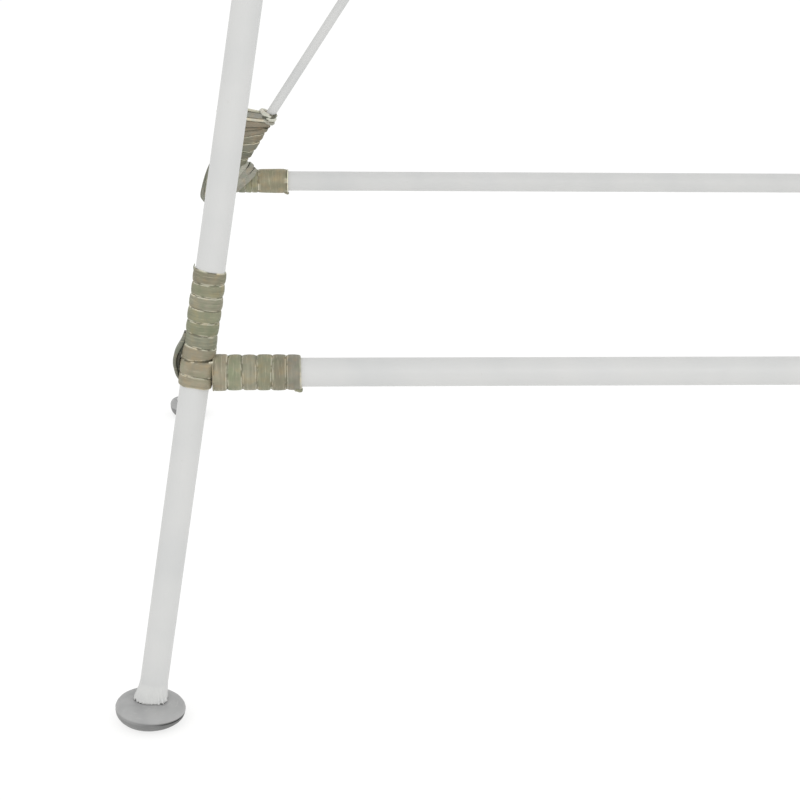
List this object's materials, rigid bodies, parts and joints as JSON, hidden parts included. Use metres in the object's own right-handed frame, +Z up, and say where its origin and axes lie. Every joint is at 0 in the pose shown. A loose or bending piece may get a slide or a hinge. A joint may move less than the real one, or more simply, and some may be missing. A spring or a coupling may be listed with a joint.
{
  "type": "clothes drying rack",
  "caption": "Braced splayed-leg drying rack: white tube frame with cane-lashed joints, two tiers of drying rods and tilting glide feet.",
  "frame": {"origin": "on the floor, at the middle of the footprint", "axes": "+Z up, +X along the drying rods, -Y the front; the braced face is at +Y"},
  "size_m": [0.9094, 0.6561, 1.2667],
  "materials": {
    "white_paint": "satin",
    "cane_binding": "dry split cane",
    "white_plastic": "matte",
    "grey_plastic": "satin",
    "zinc_steel": "zinc plated"
  },
  "bodies": {
    "frame": {"brace_from_lower_left": "white_paint", "brace_from_lower_right": "white_paint", "drying_rod_middle_1": "white_paint", "drying_rod_middle_2": "white_paint", "drying_rod_middle_3": "white_paint", "drying_rod_middle_4": "white_paint", "drying_rod_middle_5": "white_paint", "drying_rod_top_1": "white_paint", "drying_rod_top_2": "white_paint", "drying_rod_top_3": "white_paint", "drying_rod_top_4": "white_paint", "drying_rod_top_5": "white_paint", "foot_sleeve_back_left": "white_plastic", "foot_sleeve_back_right": "white_plastic", "foot_sleeve_front_left": "white_plastic", "foot_sleeve_front_right": "white_plastic", "glide_stud_back_left": "zinc_steel", "glide_stud_back_right": "zinc_steel", "glide_stud_front_left": "zinc_steel", "glide_stud_front_right": "zinc_steel", "lashing_brace_crossing": "cane_binding", "lashing_lower_back_left": "cane_binding", "lashing_lower_back_right": "cane_binding", "lashing_lower_front_left": "cane_binding", "lashing_lower_front_right": "cane_binding", "lashing_middle_back_left": "cane_binding", "lashing_middle_back_right": "cane_binding", "lashing_middle_front_left": "cane_binding", "lashing_middle_front_right": "cane_binding", "lashing_top_back_left": "cane_binding", "lashing_top_back_right": "cane_binding", "lashing_top_front_left": "cane_binding", "lashing_top_front_right": "cane_binding", "leg_back_left": "white_paint", "leg_back_right": "white_paint", "leg_front_left": "white_paint", "leg_front_right": "white_paint", "rail_lower_back": "white_paint", "rail_lower_front": "white_paint", "rail_lower_left": "white_paint", "rail_lower_right": "white_paint", "rail_middle_left": "white_paint", "rail_middle_right": "white_paint", "rail_top_back": "white_paint", "rail_top_front": "white_paint", "rail_top_left": "white_paint", "rail_top_right": "white_paint", "web_lower_left": "cane_binding", "web_lower_right": "cane_binding", "web_top_left": "cane_binding", "web_top_right": "cane_binding"},
    "pad_front_left": {"glide_pad_front_left": "grey_plastic"},
    "pad_front_right": {"glide_pad_front_right": "grey_plastic"},
    "pad_back_left": {"glide_pad_back_left": "grey_plastic"},
    "pad_back_right": {"glide_pad_back_right": "grey_plastic"}
  },
  "joints": [
    {"name": "pad_tilt_front_left", "type": "hinge", "parent": "frame", "child": "pad_front_left", "pos_m": [-0.427, -0.30679, 0.0095], "axis": [-0.3091, 0.951, 0], "range_deg": [-6.5, 24]},
    {"name": "pad_tilt_front_right", "type": "hinge", "parent": "frame", "child": "pad_front_right", "pos_m": [0.427, -0.30679, 0.0095], "axis": [-0.3091, -0.951, 0], "range_deg": [-6.5, 24]},
    {"name": "pad_tilt_back_left", "type": "hinge", "parent": "frame", "child": "pad_back_left", "pos_m": [-0.43628, 0.30679, 0.0095], "axis": [0.3091, 0.951, 0], "range_deg": [-6.5, 24]},
    {"name": "pad_tilt_back_right", "type": "hinge", "parent": "frame", "child": "pad_back_right", "pos_m": [0.43628, 0.30679, 0.0095], "axis": [0.3091, -0.951, 0], "range_deg": [-6.5, 24]}
  ]
}
